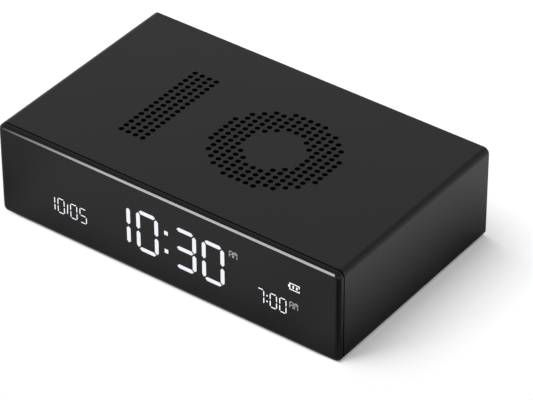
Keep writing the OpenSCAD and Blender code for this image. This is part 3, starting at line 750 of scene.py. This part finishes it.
def lit_blocks(name, places):
    """Small lit blocks in the lens's face with softened edges, each as (left, foot, width, height)."""
    face = lens_face()
    blocks = []
    for left, foot, width, height in places:
        low = (left, face - SEGMENT_PROUD, foot)
        high = (left + width, face + SEGMENT_SUNK, foot + height)
        block = add_block(name, low, high)
        bevel_where(block, BLOCK_SOFTENING, lambda p: p.y < face - SEGMENT_PROUD / 2)
        blocks.append(block)
    return joined(blocks, name)


def make_display():
    groups = {name: glyph_group(name, **group) for name, group in DISPLAY_GROUPS.items()}
    for name, places in BLOCK_GROUPS.items():
        groups[name] = lit_blocks(name, places)
    _, foot, _, height = DATE_STROKE
    shift_where(groups["date_stroke"], (DATE_LEAN, 0, 0), lambda p: p.z > foot + height / 2)
    large = [groups[name] for name in LARGE_GROUPS]
    dim = [groups[name] for name in DIM_GROUPS]
    small = [group for group in groups.values() if group not in large + dim]
    dress("lit_segment", lit_segment(TIME_GLOW), *large)
    dress("small_segment", lit_segment(SMALL_GLOW), *small)
    dress("dim_segment", lit_segment(DIM_GLOW), *dim)
    for group in groups.values():
        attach(group, "case")


def make_contacts():
    """Gold contacts along both faces of the socket's tongue."""
    low, high = (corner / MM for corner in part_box("usb_tongue"))
    width, length, thick = CONTACT_SIZE
    rear = high.y - CONTACT_SETBACK
    top = high.z + CONTACT_PROUD
    first = (low.x + high.x) / 2 - (CONTACTS_PER_SIDE - 1) / 2 * CONTACT_PITCH
    pad_low = (first - width / 2, rear - length, top - thick)
    pad_high = (first + width / 2, rear, top)
    pad = add_block("contact", pad_low, pad_high)
    bevel_where(pad, CONTACT_ROUNDING, lambda p: p.z > top - thick / 2, segments=2)
    mid_z = (low.z + high.z) / 2 * MM
    from_middle = Matrix.Translation((0, 0, -mid_z))
    copies = []
    for side in (1, -1):
        turn = Matrix.Diagonal((1, 1, side, 1))
        for i in range(CONTACTS_PER_SIDE):
            along = Matrix.Translation((i * CONTACT_PITCH * MM, 0, mid_z))
            copies.append(copy_of(pad, along @ turn @ from_middle))
    bpy.data.objects.remove(pad)
    contacts = joined(copies, "usb_contacts")
    dress("gold_contact", plated((0.75, 0.52, 0.16), 0.2, (9, 0.6, 9)), contacts)
    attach(contacts, "case")


def painted_wash_area(x, y, right):
    """Where the ground is painted white: 1 in front of the clock and to its right, and 0 on the rest."""
    left = x.under(*LEFT_OF_CLOCK)
    eased = y - CORNER_EASE_BY * x.over(*CORNER_EASE)
    beside = eased.over(*FRONT_EDGE) * (1 - right - left)
    return 1 - beside - y.over(*FRONT_EDGE_LEFT) * left


def painted_ground_wash(x, y, outside, right, ground):
    """Painted light: how far the camera sees the ground washed white over its real shade: wholly in
    front, and little in the shade.
    """
    away = x - SHADE_X
    start = SHADE_START + away * SHADE_START_DRIFT
    full = SHADE_FULL + away * SHADE_FULL_DRIFT
    bright = ground - y.over(start, full) * right
    return PAINTED_WASH_IN_SHADE * outside.over(*FOOT_EDGE) + (1 - PAINTED_WASH_IN_SHADE) * bright


def painted_mirror_shade(x, y, outside, right, ground):
    """Painted shade for glossy rays: how far the ground darkens where the lens and the sides mirror it.
    """
    foot = outside.under(*FOOT_SHADE)
    front = ground - y.over(*FRONT_EDGE_RIGHT) * right
    before_lens = AHEAD_DIM - AHEAD_FOOT_LIFT * foot
    before_lens += LEFT_FOOT_DIM * foot * x.under(*LEFT_FOOT_RAMP) - LEFT_LIFT * x.over(*LEFT_LIFT_RAMP)
    before_lens += RIGHT_DIM * x.over(*RIGHT_DIM_RAMP) - RIGHT_LIFT * x.over(*RIGHT_LIFT_RAMP)
    before_lens *= front * y.over(*AHEAD)
    corner = x.between(CORNER_RISE, CORNER_FALL) * y.under(*CORNER_DEPTH)
    side = SIDE_DIM * x.between(SIDE_RISE, SIDE_FALL) * y.under(*SIDE_DEPTH)
    behind = BEHIND_DIM * y.over(*BEHIND_RISE) * outside.under(*BEHIND_REACH)
    return (FOOT_DIM * foot + before_lens + corner.larger(side) + behind).clamped()


def make_floor():
    """White floor with the clock's shadow, painted white in front of it, painted darker near it where the
    clock mirrors it, and plain white further out.
    """
    deselect_all()
    bpy.ops.mesh.primitive_plane_add(size=FLOOR_SIZE, location=(0, 0, -FLOOR_DROP))
    floor = bpy.context.object
    floor.name = "floor"
    material = bpy.data.materials.new("floor_white")
    material.use_nodes = True
    s = Shader(material.node_tree)
    camera, glossy, seen = s.rays()
    metres = s.node("TexCoord", out="Object")
    x, y, _ = s.axes(metres)
    far = s.node("VectorMath", {"operation": "LENGTH"}, {0: metres}, out="Value").over(*FLOOR_FADE)
    corner = CAD_BOX[1]
    outside = (abs(x) - corner.x).larger(abs(y) - corner.y)
    right = x.over(*RIGHT_OF_CLOCK)
    ground = painted_wash_area(x, y, right)
    # Painted light: camera rays see the ground washed white in front of the clock
    painted_wash_share = painted_ground_wash(x, y, outside, right, ground)
    # Painted shade: glossy rays see the ground darkened near the clock, so the lens and sides look darker
    # towards their feet
    dim = glossy * painted_mirror_shade(x, y, outside, right, ground)
    tone = s.mix(dim, (FLOOR_WHITE,) * 3, (FLOOR_PAINTED_SHADE,) * 3)
    paper = s.node("BsdfDiffuse", None, {"Color": tone})
    white = s.node("Emission", None, {"Color": (1, 1, 1, 1), "Strength": 1.0})
    lit = s.blend(seen * (far + (1 - far) * camera * painted_wash_share), paper, white)
    under_clock = (abs(x) < FOOTPRINT[0]) * (abs(y) < FOOTPRINT[1])
    see_through = (s.node("NewGeometry", out="Backfacing") + under_clock).clamped()
    surface = s.blend(see_through, lit, s.node("BsdfTransparent"))
    s.node("OutputMaterial", None, {"Surface": surface})
    floor.data.materials.append(material)


def make_world():
    """White all round, greyer overhead in reflections, and an even sky for the light that it casts."""
    world = bpy.data.worlds.new("studio")
    world.use_nodes = True
    s = Shader(world.node_tree)
    _, glossy, seen = s.rays()
    height = s.axes(s.node("TexCoord", out="Generated"))[2]
    overhead = s.mix(glossy * height.over(*ZENITH_RISE), (1, 1, 1), (ZENITH_LIGHT,) * 3)
    sky = s.node("Background", None, {"Color": (1, 1, 1, 1), "Strength": SKY_LIGHT})
    white = s.node("Background", None, {"Color": overhead, "Strength": 1.0})
    s.node("OutputWorld", None, {"Surface": s.blend(seen, sky, white)})
    bpy.context.scene.world = world


def add_lamp(name, at, turn, size, radiance):
    """A rectangular lamp of the given radiance that isn't seen itself."""
    deselect_all()
    bpy.ops.object.light_add(type="AREA", location=at, rotation=turn)
    lamp = bpy.context.object
    lamp.name = name
    lamp.data.shape = "RECTANGLE"
    lamp.data.size, lamp.data.size_y = size
    lamp.data.energy = radiance * math.pi * size[0] * size[1]
    lamp.visible_camera = False
    return lamp


def make_lights():
    """A broad key overhead to the left, and a strip to the front left that gleams on the lens alone."""
    key = add_lamp("key", KEY_AT, (0, 0, 0), KEY_SIZE, KEY_RADIANCE)
    key.visible_glossy = False
    strip = add_lamp("gleam_strip", STRIP_AT, STRIP_TURN, STRIP_SIZE, STRIP_RADIANCE)
    strip.visible_diffuse = False
    strip.data.use_nodes = True
    s = Shader(strip.data.node_tree)
    across = s.axes(s.node("NewGeometry", out="Parametric"))[0]
    feathered = s.node("Emission", None, {"Strength": across.over(*STRIP_FEATHER)})
    s.node("OutputLight", None, {"Surface": feathered})
    lens_only = bpy.data.collections.new("lens_only")
    lens_only.objects.link(NODES["front_lens"])
    strip.light_linking.receiver_collection = lens_only


def make_camera():
    back = Vector((
        math.sin(AZIMUTH) * math.cos(ELEVATION),
        -math.cos(AZIMUTH) * math.cos(ELEVATION),
        math.sin(ELEVATION),
    ))
    right = Vector((math.cos(AZIMUTH), math.sin(AZIMUTH), 0))
    turn = Matrix((right, back.cross(right), back)).transposed() @ Matrix.Rotation(ROLL, 3, "Z")
    deselect_all()
    bpy.ops.object.camera_add()
    camera = bpy.context.object
    camera.matrix_world = Matrix.Translation((AIM + back * DISTANCE) * MM) @ turn.to_4x4()
    camera.data.lens = LENS
    camera.data.sensor_width = SENSOR
    camera.data.clip_start = CLIP_START * MM
    bpy.context.scene.camera = camera


bpy.context.scene.view_settings.view_transform = "Standard"
make_camera()
make_floor()
make_world()
make_lights()
dress_case()
dress_metal()
dress_works()
make_display()
make_contacts()
